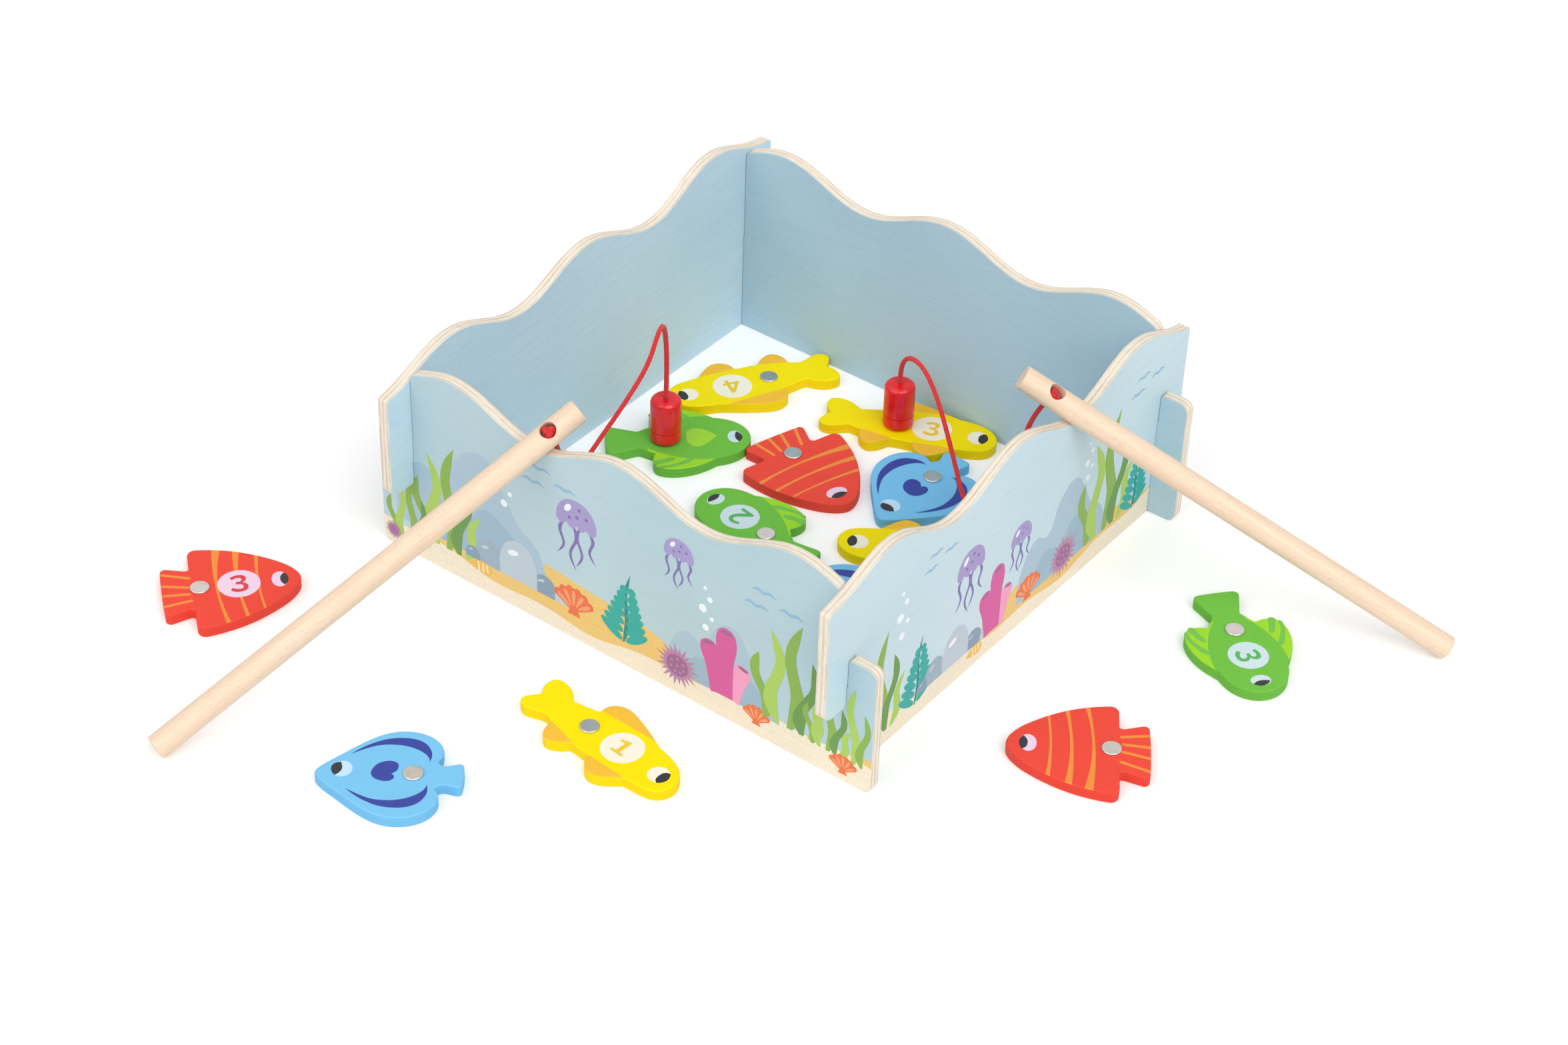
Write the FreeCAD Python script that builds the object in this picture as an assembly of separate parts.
import FreeCAD, Part
import math
import os
from FreeCAD import Vector

# Magnetic fishing game. Millimetres, +Z up. The origin is the middle of the pond at table height.
# X runs along the front and rear panels, Y along the left and right panels.

# Pond panels
pond_inside = 250.0        # clear width between facing panels
ply = 6.0                  # thickness of the plywood
tab_reach = 15.5           # how far a panel passes the one it crosses
wave_mid = 107.0           # mean height of the wavy top edge
wave_rise = 7.0            # crest above the mean height
wave_length = 100.0        # from crest to crest
tall_crest_lift = 2.8      # extra height of the last crest at one end of the left and right panels
tall_tab_lift = 2.2        # further extra height of the tab beyond it
slot_meet = 56.0           # height at which the two half slots meet
low_tab_top = 71.0         # top of the outer tab on the front and rear panels
high_tab_foot = 44.0       # underside of the outer tab on the left and right panels
slot_play = 0.3            # slot width over ply thickness, and the gap where slots meet
tab_round = 5.0            # corner radius of the tabs
crest_round = 2.0          # radius at the high tabs' corners where the wavy edge ends
body_round = 4.0           # corner radius of the front and rear panels beside their slots
mouth_round = 1.8          # corner radius at the other slot mouths
panel_edge = 0.4           # eased edge of the panel faces

# Rods
rod_length = 243.0
rod_diameter = 12.0
rod_end_round = 0.8
rod_seat_gap = 0.05        # rest clearance to the panel and the table
knot_hole = 8.0            # wide bore that hides the knot
knot_depth_left = 7.8      # depth of the wide bore, from the rod's crown
knot_depth_right = 9.0
knot_hole_from_end = 17.0
line_bore = 3.0            # narrow bore that the line leaves through
knot_diameter = 7.4

# Lines
line_diameter = 2.2

# Magnet holders
holder_diameter = 16.0
holder_base_height = 7.0
holder_cap_height = 18.0
holder_groove = 0.4        # width and depth of the line between cap and base
holder_top_round = 3.2
holder_foot_round = 1.0
magnet_diameter = 10.0
magnet_height = 4.0
cap_bore = 8.0
cap_bore_depth = 11.0
cap_line_bore = 2.6
inner_knot = 5.6

# Fish, with their lengths as shares of the pond's clear width, so that they all find room in it
red_share = 0.264
blue_share = 0.2664
green_share = 0.296
yellow_share = 0.3664
fish_thickness = 6.0
fish_edge = 0.8            # rounded edge of a fish
disc_diameter = 9.4
disc_proud = 1.0
disc_sunk = 2.0
disc_edge = 0.5
rest_gap = 0.02            # between pieces that stand on each other
holder_shift_left = (1.5, 0.8)     # from the middle of the disc below the left holder
holder_shift_right = (3.0, 0.8)

# Worked out from the sizes above
inner = pond_inside / 2
outer = inner + ply
tab_end = outer + tab_reach
slot_width = ply + slot_play
disc_top = fish_thickness + disc_proud
holder_foot = disc_top + rest_gap
holder_radius = holder_diameter / 2
cap_foot = holder_foot + holder_base_height
holder_top = cap_foot + holder_cap_height
red_length = pond_inside * red_share
blue_length = pond_inside * blue_share
green_length = pond_inside * green_share
yellow_length = pond_inside * yellow_share

os.makedirs("parts", exist_ok=True)


def save(shape, name):
    """Write one piece, and say how large it is."""
    shape.exportStep("parts/" + name + ".step")
    box = shape.BoundBox
    print(name, "solids", len(shape.Solids), "volume", round(shape.Volume, 1),
          "box", round(box.XLength, 1), round(box.YLength, 1), round(box.ZLength, 1))


def wave_height(along):
    """Height of the wavy top edge at a distance from a panel's middle."""
    return wave_mid + wave_rise * math.cos(2 * math.pi * along / wave_length)


def eased_rise(along, start, end):
    """A smooth rise from 0 to 1 between two distances from a panel's middle."""
    share = min(max((along - start) / (end - start), 0), 1)
    return share * share * (3 - 2 * share)


def tall_wave_height(along):
    """The same on the left and right panels, which stand higher at one end."""
    crest_rise = tall_crest_lift * eased_rise(along, 0.55 * wave_length, 0.95 * wave_length)
    tab_rise = tall_tab_lift * eased_rise(along, inner - ply, tab_end)
    return wave_height(along) + crest_rise + tab_rise


def wave_edge(start, end, height):
    """The wavy edge from start to end, as one smooth curve."""
    steps = math.ceil(12 * abs(end - start) / wave_length)
    points = []
    for i in range(steps + 1):
        along = start + (end - start) * i / steps
        points.append(Vector(along, 0, height(along)))
    curve = Part.BSplineCurve()
    curve.interpolate(points)
    return curve.toShape()


def line(a, b):
    return Part.LineSegment(Vector(*a), Vector(*b)).toShape()


def rounded(solid, spots, radius, axis):
    """Round the solid's straight edges that run along an axis through the given spots."""
    chosen = []
    for edge in solid.Edges:
        if not isinstance(edge.Curve, Part.Line):
            continue
        if abs(edge.tangentAt(edge.FirstParameter).dot(axis)) < 0.999:
            continue
        middle = edge.CenterOfMass
        for spot in spots:
            away = middle - Vector(*spot)
            if (away - axis * away.dot(axis)).Length < 0.05:
                chosen.append(edge)
    return solid.makeFillet(radius, chosen)


def eased_faces(solid, normal, radius):
    """Round every edge of the two flat faces that look along a normal."""
    chosen = []
    for face in solid.Faces:
        if not isinstance(face.Surface, Part.Plane):
            continue
        if abs(face.normalAt(0, 0).dot(normal)) > 0.999:
            chosen.extend(face.Edges)
    return solid.makeFillet(radius, chosen)


def panel_blank(edges):
    """A plate of the outline's edges, which lie in the XZ plane, centred on that plane."""
    face = Part.Face(Part.Wire(Part.__sortEdges__(edges)))
    plate = face.extrude(Vector(0, ply, 0))
    plate.translate(Vector(0, -ply / 2, 0))
    return plate


def low_tab_panel():
    """Front or rear panel: slots open at the top, low tabs outside them."""
    slot_inside = inner + ply / 2 - slot_width / 2
    slot_outside = slot_inside + slot_width
    edges = [line((-tab_end, 0, 0), (tab_end, 0, 0)), wave_edge(-slot_inside, slot_inside, wave_height)]
    for side in (-1, 1):
        corner = [(side * tab_end, 0, 0), (side * tab_end, 0, low_tab_top)]
        corner.append((side * slot_outside, 0, low_tab_top))
        corner.append((side * slot_outside, 0, slot_meet - slot_play / 2))
        corner.append((side * slot_inside, 0, slot_meet - slot_play / 2))
        corner.append((side * slot_inside, 0, wave_height(slot_inside)))
        for a, b in zip(corner, corner[1:]):
            edges.append(line(a, b))
    plate = panel_blank(edges)
    across = Vector(0, 1, 0)
    tabs = []
    mouths = []
    shoulders = []
    for side in (-1, 1):
        tabs.append((side * tab_end, 0, 0))
        tabs.append((side * tab_end, 0, low_tab_top))
        mouths.append((side * slot_outside, 0, low_tab_top))
        shoulders.append((side * slot_inside, 0, wave_height(slot_inside)))
    plate = rounded(plate, tabs, tab_round, across)
    plate = rounded(plate, mouths, mouth_round, across)
    plate = rounded(plate, shoulders, body_round, across)
    return eased_faces(plate, across, panel_edge)


def high_tab_panel():
    """Left or right panel: slots open at the foot, high tabs outside them."""
    slot_inside = inner + ply / 2 - slot_width / 2
    slot_outside = slot_inside + slot_width
    edges = [line((-slot_inside, 0, 0), (slot_inside, 0, 0)), wave_edge(-tab_end, tab_end, tall_wave_height)]
    for side in (-1, 1):
        corner = [(side * slot_inside, 0, 0), (side * slot_inside, 0, slot_meet + slot_play / 2)]
        corner.append((side * slot_outside, 0, slot_meet + slot_play / 2))
        corner.append((side * slot_outside, 0, high_tab_foot))
        corner.append((side * tab_end, 0, high_tab_foot))
        corner.append((side * tab_end, 0, tall_wave_height(side * tab_end)))
        for a, b in zip(corner, corner[1:]):
            edges.append(line(a, b))
    plate = panel_blank(edges)
    across = Vector(0, 1, 0)
    feet = []
    crests = []
    mouths = []
    for side in (-1, 1):
        feet.append((side * tab_end, 0, high_tab_foot))
        crests.append((side * tab_end, 0, tall_wave_height(side * tab_end)))
        mouths.append((side * slot_outside, 0, high_tab_foot))
        mouths.append((side * slot_inside, 0, 0))
    plate = rounded(plate, feet, tab_round, across)
    plate = rounded(plate, crests, crest_round, across)
    plate = rounded(plate, mouths, mouth_round, across)
    return eased_faces(plate, across, panel_edge)


def build_panels():
    """The four interlocking panels round the pond."""
    middle = inner + ply / 2
    front = low_tab_panel()
    front.translate(Vector(0, -middle, 0))
    save(front, "panel_front")
    rear = front.copy()
    rear.translate(Vector(0, 2 * middle, 0))
    save(rear, "panel_rear")
    left = high_tab_panel()
    left.rotate(Vector(0, 0, 0), Vector(0, 0, 1), 90)
    left.translate(Vector(-middle, 0, 0))
    save(left, "panel_left")
    right = left.copy()
    right.rotate(Vector(0, 0, 0), Vector(0, 0, 1), 180)
    save(right, "panel_right")


def edge_height(along_axis, place):
    """Height of the top edge at a place along the front or rear panel, or along the right one."""
    if along_axis == 1:
        return wave_height(place)
    return tall_wave_height(-place)


def rod_clearance(start, direction, along_axis):
    """Least distance from a rod's axis to the outer top edge that it lies on."""
    face = math.copysign(outer, start[along_axis])
    reach = (face - start[along_axis]) / direction[along_axis]
    crossing = start[1 - along_axis] + reach * direction[1 - along_axis]
    nearest = wave_length
    for i in range(-20, 21):
        spot = [0, 0, 0]
        spot[along_axis] = face
        spot[1 - along_axis] = crossing + rod_diameter * i / 40
        spot[2] = edge_height(along_axis, spot[1 - along_axis])
        away = Vector(*spot) - start
        nearest = min(nearest, (away - direction * away.dot(direction)).Length)
    return nearest


def rod_frame(foot, heading, along_axis, hole_turn):
    """Foot, direction and knot hole direction of a rod that leans from the table on a panel."""
    plan = Vector(math.cos(math.radians(heading)), math.sin(math.radians(heading)), 0)
    radius = rod_diameter / 2
    reach = (math.copysign(outer, foot[along_axis]) - foot[along_axis]) / plan[along_axis]
    crossing = foot[1 - along_axis] + reach * plan[1 - along_axis]
    low = math.atan2(edge_height(along_axis, crossing) - radius, reach)
    high = math.radians(70)
    for _ in range(40):
        slope = (low + high) / 2
        direction = plan * math.cos(slope) + Vector(0, 0, math.sin(slope))
        start = Vector(foot[0], foot[1], radius * math.cos(slope) + rod_seat_gap)
        if rod_clearance(start, direction, along_axis) < radius + rod_seat_gap:
            low = slope
        else:
            high = slope
    upward = (Vector(0, 0, 1) - direction * direction.z).normalize()
    sideways = direction.cross(upward)
    roll = math.radians(hole_turn)
    mouth = upward * math.cos(roll) + sideways * math.sin(roll)
    return start, direction, mouth


def build_rod(side, frame, depth):
    """A beech rod, bored across near its upper end, with the line's knot inside.

    Returns where the line leaves the rod, and the direction back up its bore.
    """
    start, direction, mouth = frame
    radius = rod_diameter / 2
    rod = Part.makeCylinder(radius, rod_length, start, direction)
    rims = [edge for edge in rod.Edges if isinstance(edge.Curve, Part.Circle)]
    rod = rod.makeFillet(rod_end_round, rims)
    cross = start + direction * (rod_length - knot_hole_from_end)
    bore_foot = cross + mouth * (radius - depth)
    rod = rod.cut(Part.makeCylinder(knot_hole / 2, rod_diameter, bore_foot, mouth))
    rod = rod.cut(Part.makeCylinder(line_bore / 2, rod_diameter * 2, cross - mouth * rod_diameter, mouth))
    save(rod, "rod_" + side)
    knot_radius = knot_diameter / 2
    seat_rise = math.sqrt(knot_radius ** 2 - (line_bore / 2) ** 2) + rest_gap
    knot_middle = bore_foot + mouth * seat_rise
    leaves = cross - mouth * radius
    knot = Part.makeSphere(knot_radius, knot_middle)
    tail = Part.makeCylinder(line_diameter / 2, (knot_middle - leaves).Length, leaves, mouth)
    save(knot.fuse(tail).removeSplitter(), "rod_knot_" + side)
    return leaves, mouth


def tangent_path(points):
    """Straight runs through the points, joined by arcs as large as the runs allow."""
    edges = []
    radii = []
    start = points[0]
    for before, corner, after in zip(points, points[1:], points[2:]):
        run_in = corner - before
        run_out = after - corner
        half_turn = run_in.getAngle(run_out) / 2
        setback = 0.45 * min(run_in.Length, run_out.Length)
        radius = setback / math.tan(half_turn)
        radii.append(radius)
        into = Vector(run_in).normalize()
        out = Vector(run_out).normalize()
        arc_start = corner - into * setback
        arc_end = corner + out * setback
        inward = (out - into).normalize()
        centre = corner + inward * (radius / math.cos(half_turn))
        arc_middle = centre - inward * radius
        edges.append(Part.LineSegment(start, arc_start).toShape())
        edges.append(Part.Arc(arc_start, arc_middle, arc_end).toShape())
        start = arc_end
    edges.append(Part.LineSegment(start, points[-1]).toShape())
    return Part.Wire(edges), radii


def build_line(side, points):
    """The braided line, from the top of its magnet holder to the rod."""
    path, radii = tangent_path(points)
    section = Part.Wire(Part.makeCircle(line_diameter / 2, points[0], points[1] - points[0]))
    tube = path.makePipeShell([section], True, False)
    expected = math.pi * (line_diameter / 2) ** 2 * path.Length
    print("line", side, "length", round(path.Length, 1), "radii", [round(r, 1) for r in radii],
          "volume", round(tube.Volume, 1), "expected", round(expected, 1))
    save(tube, "line_" + side)


def turned(profile, place):
    """A solid turned from a closed profile of edges in the XZ plane."""
    face = Part.Face(Part.Wire(profile))
    solid = face.revolve(Vector(0, 0, 0), Vector(0, 0, 1), 360)
    solid.translate(Vector(place[0], place[1], 0))
    return solid


def corner_arc(start, centre, end):
    """A quarter arc from start to end about a centre, in the XZ plane."""
    middle_x = centre[0] + (start[0] + end[0] - 2 * centre[0]) / math.sqrt(2)
    middle_z = centre[1] + (start[1] + end[1] - 2 * centre[1]) / math.sqrt(2)
    points = [Vector(start[0], 0, start[1]), Vector(middle_x, 0, middle_z), Vector(end[0], 0, end[1])]
    return Part.Arc(*points).toShape()


def flat(a, b):
    return line((a[0], 0, a[1]), (b[0], 0, b[1]))


def holder_base(place):
    """The lower ring of a magnet holder, with the magnet's seat open below."""
    seat = magnet_diameter / 2
    roof = holder_foot + magnet_height
    shoulder = cap_foot - holder_groove
    neck = holder_radius - holder_groove
    rise = holder_foot + holder_foot_round
    turn_in = holder_radius - holder_foot_round
    profile = [
        flat((0, roof), (seat, roof)),
        flat((seat, roof), (seat, holder_foot)),
        flat((seat, holder_foot), (turn_in, holder_foot)),
        corner_arc((turn_in, holder_foot), (turn_in, rise), (holder_radius, rise)),
        flat((holder_radius, rise), (holder_radius, shoulder)),
        flat((holder_radius, shoulder), (neck, shoulder)),
        flat((neck, shoulder), (neck, cap_foot)),
        flat((neck, cap_foot), (0, cap_foot)),
        flat((0, cap_foot), (0, roof)),
    ]
    return turned(profile, place)


def holder_cap(place):
    """The tall cap of a magnet holder, hollow for the knot, with the line's hole on top."""
    bore = cap_bore / 2
    throat = cap_line_bore / 2
    roof = cap_foot + cap_bore_depth
    edge_in = holder_radius - holder_top_round
    edge_low = holder_top - holder_top_round
    profile = [
        flat((bore, cap_foot), (holder_radius, cap_foot)),
        flat((holder_radius, cap_foot), (holder_radius, edge_low)),
        corner_arc((holder_radius, edge_low), (edge_in, edge_low), (edge_in, holder_top)),
        flat((edge_in, holder_top), (throat, holder_top)),
        flat((throat, holder_top), (throat, roof)),
        flat((throat, roof), (bore, roof)),
        flat((bore, roof), (bore, cap_foot)),
    ]
    return turned(profile, place)


def build_holder(side, place):
    """Magnet, base, cap and the line's lower knot at one place."""
    save(holder_base(place), "magnet_base_" + side)
    save(holder_cap(place), "magnet_cap_" + side)
    magnet_foot = Vector(place[0], place[1], holder_foot)
    save(Part.makeCylinder(magnet_diameter / 2, magnet_height, magnet_foot), "magnet_" + side)
    roof = cap_foot + cap_bore_depth
    middle = Vector(place[0], place[1], roof - inner_knot / 2)
    knot = Part.makeSphere(inner_knot / 2, middle)
    tail = Part.makeCylinder(line_diameter / 2, holder_top - middle.z, middle)
    save(knot.fuse(tail).removeSplitter(), "magnet_knot_" + side)


def scaled_outline(stretches, length):
    """The drawn stretches at a fish's real length, and the scale that took."""
    xs = [x for stretch in stretches for x, y in stretch]
    unit = length / (max(xs) - min(xs))
    return [[Vector(x * unit, y * unit, 0) for x, y in stretch] for stretch in stretches], unit


def stretch_edge(points):
    """Two points are a straight edge, three an arc and more a smooth curve."""
    if len(points) == 2:
        return Part.LineSegment(*points).toShape()
    if len(points) == 3:
        return Part.Arc(*points).toShape()
    curve = Part.BSplineCurve()
    curve.interpolate(points)
    return curve.toShape()


def mirrored(points):
    return [(x, -y) for x, y in reversed(points)]


def symmetric_outline(nose, sides, tail):
    """Stretches of both halves, from the nose's curve, the upper side and the tail's middle."""
    stretches = [mirrored(nose[1:]) + nose] + sides
    corner = sides[-1][-1]
    stretches.append([corner, tail, (corner[0], -corner[1])])
    for stretch in reversed(sides):
        stretches.append(mirrored(stretch))
    return stretches


def fish_body(stretches, length, corners):
    """A fish sawn from board: outline, rounded corners, and softened edges all round."""
    drawn, unit = scaled_outline(stretches, length)
    wire = Part.Wire([stretch_edge(points) for points in drawn])
    body = Part.Face(wire).extrude(Vector(0, 0, fish_thickness))
    up = Vector(0, 0, 1)
    for radius, spots in corners:
        body = rounded(body, [(x * unit, y * unit, 0) for x, y in spots], radius * unit, up)
    return eased_faces(body, up, fish_edge)


def both_sides(*spots):
    return list(spots) + [(x, -y) for x, y in spots]


def red_fish():
    """Bullet-shaped fish with square rear shoulders and a flared tail."""
    shoulder = (-3.7, 30.3)
    notch = (-3.7, 13.9)
    tail = (-17.5, 18.6)
    nose = [(48.0, 0.0), (45.7, 6.3), (36.0, 15.7), (18.5, 25.4), shoulder]
    sides = [[shoulder, notch], [notch, tail]]
    outline = symmetric_outline(nose, sides, (-18.0, 0.0))
    corners = [(4.0, both_sides(shoulder)), (1.9, both_sides(notch)), (2.5, both_sides(tail))]
    return fish_body(outline, red_length, corners)


def blue_fish():
    """Heart-shaped fish with a short flared tail."""
    cleft = (-10.4, 9.3)
    neck = (-15.2, 6.4)
    tail = (-21.8, 8.4)
    nose = [(44.0, 0.0), (42.2, 3.6), (35.3, 10.4), (24.3, 20.3), (12.0, 27.7), (0.4, 28.1),
            (-9.0, 22.7), (-12.4, 15.2), cleft]
    sides = [[cleft, (-12.0, 6.9), neck], [neck, tail]]
    outline = symmetric_outline(nose, sides, (-22.6, 0.0))
    corners = [(1.2, both_sides(cleft)), (2.0, both_sides(tail))]
    return fish_body(outline, blue_length, corners)


def green_fish():
    """Egg-shaped fish with round side fins and a wide square tail."""
    gill = (26.8, 17.1)
    fin_root = (-4.2, 11.9)
    neck = (-12.4, 6.9)
    tail = (-28.4, 12.4)
    nose = [(45.0, 0.0), (43.1, 7.2), (37.0, 13.6), (32.0, 15.9), gill]
    fin = [gill, (19.6, 21.9), (10.0, 25.2), (1.6, 25.4), (-4.4, 22.6), (-5.8, 17.6), fin_root]
    outline = symmetric_outline(nose, [fin, [fin_root, neck], [neck, tail]], (-29.0, 0.0))
    corners = [(2.0, both_sides(gill)), (1.4, both_sides(fin_root)), (2.2, both_sides(neck)),
               (2.8, both_sides(tail))]
    return fish_body(outline, green_length, corners)


def yellow_fish():
    """Long fish with a forked tail, one large fin and two small ones."""
    fork = (-31.7, 1.5)
    upper_neck = (-18.0, 7.3)
    large_root = (-3.9, 10.6)
    gill = (32.9, 12.6)
    front_end = (34.2, -12.8)
    front_root = (13.7, -13.4)
    rear_end = (1.0, -13.0)
    rear_root = (-14.3, -9.6)
    lower_neck = (-20.4, -7.4)
    outline = [
        [fork, (-35.6, 8.0), (-34.3, 12.3), (-29.6, 13.5), (-23.7, 11.9), upper_neck],
        [upper_neck, large_root],
        [large_root, (-3.4, 17.4), (1.4, 20.8), (10.8, 20.2), (22.6, 16.4), gill],
        [gill, (41.5, 11.2), (50.3, 6.8), (54.2, -1.6), (51.2, -8.6), (43.0, -11.8), front_end],
        [front_end, (29.3, -17.6), (21.6, -21.4), (16.3, -19.2), front_root],
        [front_root, rear_end],
        [rear_end, (-2.6, -17.0), (-8.9, -19.4), (-13.4, -15.6), rear_root],
        [rear_root, lower_neck],
        [lower_neck, (-26.1, -9.6), (-32.4, -10.9), (-36.2, -7.8), (-34.6, -3.0), fork],
    ]
    corners = [(1.5, [fork, large_root, front_root, rear_root]),
               (2.0, [upper_neck, lower_neck, gill, front_end, rear_end])]
    return fish_body(outline, yellow_length, corners)


# Each fish: node name, form, place of its disc on the table in pond widths, and the way its nose
# points in degrees
fish_makers = {"red": red_fish, "blue": blue_fish, "green": green_fish, "yellow": yellow_fish}
fish_places = [
    ("red_fish_1", "red", (-0.7304, -0.8824), 50.7),
    ("red_fish_2", "red", (0.8688, -0.1688), -147.1),
    ("red_fish_3", "red", (-0.1168, 0.1752), -17.3),
    ("blue_fish_1", "blue", (-0.0648, -1.0144), -143.4),
    ("blue_fish_2", "blue", (0.1464, 0.2908), -91.2),
    ("blue_fish_3", "blue", (0.26, -0.124), -148.0),
    ("green_fish_1", "green", (0.8676, 0.2636), -39.5),
    ("green_fish_2", "green", (-0.3528, 0.048), 42.4),
    ("green_fish_3", "green", (0.0008, -0.0676), 169.8),
    ("yellow_fish_1", "yellow", (0.0972, -0.7196), -6.1),
    ("yellow_fish_2", "yellow", (-0.316, 0.3552), -120.1),
    ("yellow_fish_3", "yellow", (-0.0248, 0.39), 22.9),
    ("yellow_fish_4", "yellow", (0.3092, 0.1172), -149.9),
]
place_of = {}
for name, form, place, heading in fish_places:
    place_of[name] = (place[0] * pond_inside, place[1] * pond_inside)

# The lines' routes between their magnet holder and the rod, as they hang in the pond, in pond widths
left_route = [(-0.346, 0.052, 0.192), (-0.3448, 0.048, 0.268), (-0.3344, 0.026, 0.326),
              (-0.3088, -0.022, 0.344), (-0.2944, -0.07, 0.298), (-0.2916, -0.14, 0.2528),
              (-0.3, -0.23, 0.186), (-0.294, -0.312, 0.148), (-0.252, -0.384, 0.16),
              (-0.216, -0.42, 0.256)]
right_route = [(-0.0148, 0.3916, 0.164), (0.012, 0.376, 0.216), (0.07, 0.3472, 0.232),
               (0.13, 0.316, 0.196), (0.208, 0.26, 0.134), (0.288, 0.196, 0.074), (0.38, 0.148, 0.062),
               (0.43, 0.13, 0.16), (0.43, 0.138, 0.272)]
last_run = 17.0            # straight run of the line under the rod

# Where the rods' lower ends rest on the table, in pond widths
left_foot = (-0.47, -1.2512)
right_foot = (1.2084, 0.478)


def build_fish():
    """Every fish, with the steel disc let into it."""
    seat_floor = Vector(0, 0, fish_thickness - disc_sunk)
    seat = Part.makeCylinder(disc_diameter / 2, disc_sunk + disc_proud, seat_floor)
    rims = [edge for edge in seat.Edges if isinstance(edge.Curve, Part.Circle)]
    disc = seat.makeFillet(disc_edge, rims)
    blanks = {}
    for form, maker in fish_makers.items():
        blanks[form] = maker().cut(seat)
    for name, form, place, heading in fish_places:
        for piece, node in ((blanks[form].copy(), name), (disc.copy(), name + "_disc")):
            piece.rotate(Vector(0, 0, 0), Vector(0, 0, 1), heading)
            piece.translate(Vector(*place_of[name], 0))
            save(piece, node)


def build_tackle(side, fish, shift, frame, depth, route):
    """One rod with its line, and the magnet holder that stands on a fish."""
    leaves, mouth = build_rod(side, frame, depth)
    place = (place_of[fish][0] + shift[0], place_of[fish][1] + shift[1])
    build_holder(side, place)
    points = [Vector(place[0], place[1], holder_top)]
    points.extend(Vector(*spot) * pond_inside for spot in route)
    points.append(leaves - mouth * last_run)
    points.append(leaves)
    build_line(side, points)


def build_all():
    build_panels()
    build_fish()
    left_rod = rod_frame((left_foot[0] * pond_inside, left_foot[1] * pond_inside), 68.1, 1, 24.8)
    build_tackle("left", "green_fish_2", holder_shift_left, left_rod, knot_depth_left, left_route)
    right_rod = rod_frame((right_foot[0] * pond_inside, right_foot[1] * pond_inside), -156.1, 0, -19.6)
    build_tackle("right", "yellow_fish_3", holder_shift_right, right_rod, knot_depth_right, right_route)


build_all()
